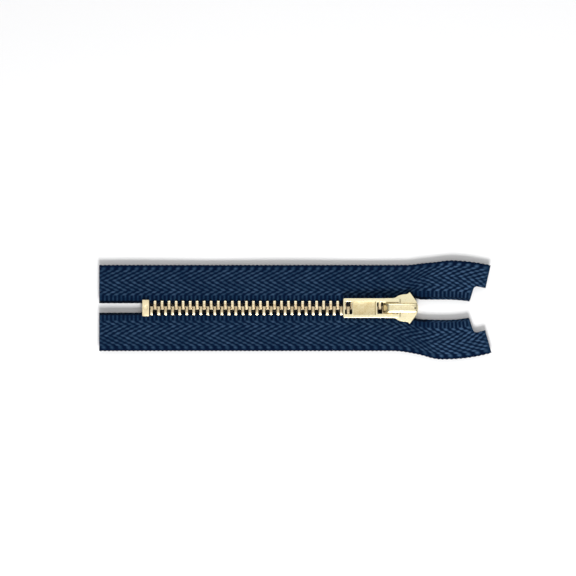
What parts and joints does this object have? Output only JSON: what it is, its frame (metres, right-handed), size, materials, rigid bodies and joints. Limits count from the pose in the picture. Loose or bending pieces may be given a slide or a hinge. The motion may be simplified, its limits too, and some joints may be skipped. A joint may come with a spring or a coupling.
{
  "type": "closed-end metal zipper",
  "caption": "Closed-end metal tooth zipper on woven tapes, with an auto-lock slider that opens the two sides and a hinged pull tab.",
  "frame": {"origin": "middle of the underside of the bounding box, done up and lying face up", "axes": "+X along the chain towards the open end, +Y towards the left tape, +Z out of the face side"},
  "size_m": [0.1452, 0.0366, 0.0074],
  "materials": {
    "tape": "navy woven polyester, herringbone weave",
    "cord": "navy bead cord",
    "teeth": "polished pale brass",
    "stop": "crimped pale brass",
    "slider": "polished pale gold plate",
    "spring": "bright spring steel"
  },
  "bodies": {
    "closed_end": {"bottom_stop": "stop", "left_tape_tail": "tape", "left_cord_tail": "cord", "left_teeth_tail": "teeth", "right_tape_tail": "tape", "right_cord_tail": "cord", "right_teeth_tail": "teeth"},
    "left_lower": {"left_tape_lower": "tape", "left_cord_lower": "cord", "left_teeth_lower": "teeth"},
    "left_middle": {"left_tape_middle": "tape", "left_cord_middle": "cord", "left_teeth_middle": "teeth"},
    "left_upper": {"left_tape_upper": "tape", "left_cord_upper": "cord", "left_teeth_upper": "teeth"},
    "left_top": {"left_tape_top": "tape", "left_cord_top": "cord", "left_teeth_top": "teeth", "left_top_stop": "stop"},
    "right_lower": {"right_tape_lower": "tape", "right_cord_lower": "cord", "right_teeth_lower": "teeth"},
    "right_middle": {"right_tape_middle": "tape", "right_cord_middle": "cord", "right_teeth_middle": "teeth"},
    "right_upper": {"right_tape_upper": "tape", "right_cord_upper": "cord", "right_teeth_upper": "teeth"},
    "right_top": {"right_tape_top": "tape", "right_cord_top": "cord", "right_teeth_top": "teeth", "right_top_stop": "stop"},
    "slider": {"slider_body": "slider", "slider_cap": "slider"},
    "lock": {"lock_spring": "spring"},
    "pull_tab": {"pull_tab": "slider"}
  },
  "joints": [
    {"name": "slider_travel", "type": "slide", "parent": "closed_end", "child": "slider", "axis": [-1, 0, 0], "range_m": [0, 0.0858], "deforming": ["left_tape_tail", "left_cord_tail", "left_teeth_tail", "left_tape_lower", "left_cord_lower", "left_teeth_lower", "left_tape_middle", "left_cord_middle", "left_teeth_middle", "left_tape_upper", "left_cord_upper", "left_teeth_upper", "left_tape_top", "left_cord_top", "left_teeth_top", "right_tape_tail", "right_cord_tail", "right_teeth_tail", "right_tape_lower", "right_cord_lower", "right_teeth_lower", "right_tape_middle", "right_cord_middle", "right_teeth_middle", "right_tape_upper", "right_cord_upper", "right_teeth_upper", "right_tape_top", "right_cord_top", "right_teeth_top"]},
    {"name": "left_lower_bend", "type": "hinge", "parent": "closed_end", "child": "left_lower", "pos_m": [-0.05128, 0.00225, 0.00215], "axis": [0, 0, 1], "range_deg": [0, 12.5]},
    {"name": "left_middle_bend", "type": "hinge", "parent": "left_lower", "child": "left_middle", "pos_m": [-0.02788, 0.00225, 0.00215], "axis": [0, 0, 1], "range_deg": [-3.5, 0]},
    {"name": "left_upper_bend", "type": "hinge", "parent": "left_middle", "child": "left_upper", "pos_m": [-0.00448, 0.00225, 0.00215], "axis": [0, 0, 1], "range_deg": [-4.5, 0]},
    {"name": "left_top_bend", "type": "hinge", "parent": "left_upper", "child": "left_top", "pos_m": [0.01892, 0.00225, 0.00215], "axis": [0, 0, 1], "range_deg": [-4.5, 0]},
    {"name": "right_lower_bend", "type": "hinge", "parent": "closed_end", "child": "right_lower", "pos_m": [-0.05128, -0.00095, 0.00215], "axis": [0, 0, -1], "range_deg": [0, 12.5]},
    {"name": "right_middle_bend", "type": "hinge", "parent": "right_lower", "child": "right_middle", "pos_m": [-0.02788, -0.00095, 0.00215], "axis": [0, 0, -1], "range_deg": [-3.5, 0]},
    {"name": "right_upper_bend", "type": "hinge", "parent": "right_middle", "child": "right_upper", "pos_m": [-0.00448, -0.00095, 0.00215], "axis": [0, 0, -1], "range_deg": [-4.5, 0]},
    {"name": "right_top_bend", "type": "hinge", "parent": "right_upper", "child": "right_top", "pos_m": [0.01892, -0.00095, 0.00215], "axis": [0, 0, -1], "range_deg": [-4.5, 0]},
    {"name": "pull_tab_swing", "type": "hinge", "parent": "slider", "child": "pull_tab", "pos_m": [0.03827, 0.00065, 0.0054], "axis": [0, 1, 0], "range_deg": [0, 175]},
    {"name": "lock_pawl_lift", "type": "hinge", "parent": "slider", "child": "lock", "pos_m": [0.04387, 0.00065, 0.0056], "axis": [0, 1, 0], "range_deg": [0, 3.6]}
  ],
  "couplings": [
    {"joint": "left_lower_bend", "follows": "slider_travel", "rad_per_m": 2.441},
    {"joint": "left_middle_bend", "follows": "slider_travel", "rad_per_m": -0.61025},
    {"joint": "left_upper_bend", "follows": "slider_travel", "rad_per_m": -0.81367},
    {"joint": "left_top_bend", "follows": "slider_travel", "rad_per_m": -0.81367},
    {"joint": "right_lower_bend", "follows": "slider_travel", "rad_per_m": 2.441},
    {"joint": "right_middle_bend", "follows": "slider_travel", "rad_per_m": -0.61025},
    {"joint": "right_upper_bend", "follows": "slider_travel", "rad_per_m": -0.81367},
    {"joint": "right_top_bend", "follows": "slider_travel", "rad_per_m": -0.81367},
    {"joint": "lock_pawl_lift", "follows": "pull_tab_swing", "ratio": 0.02}
  ]
}
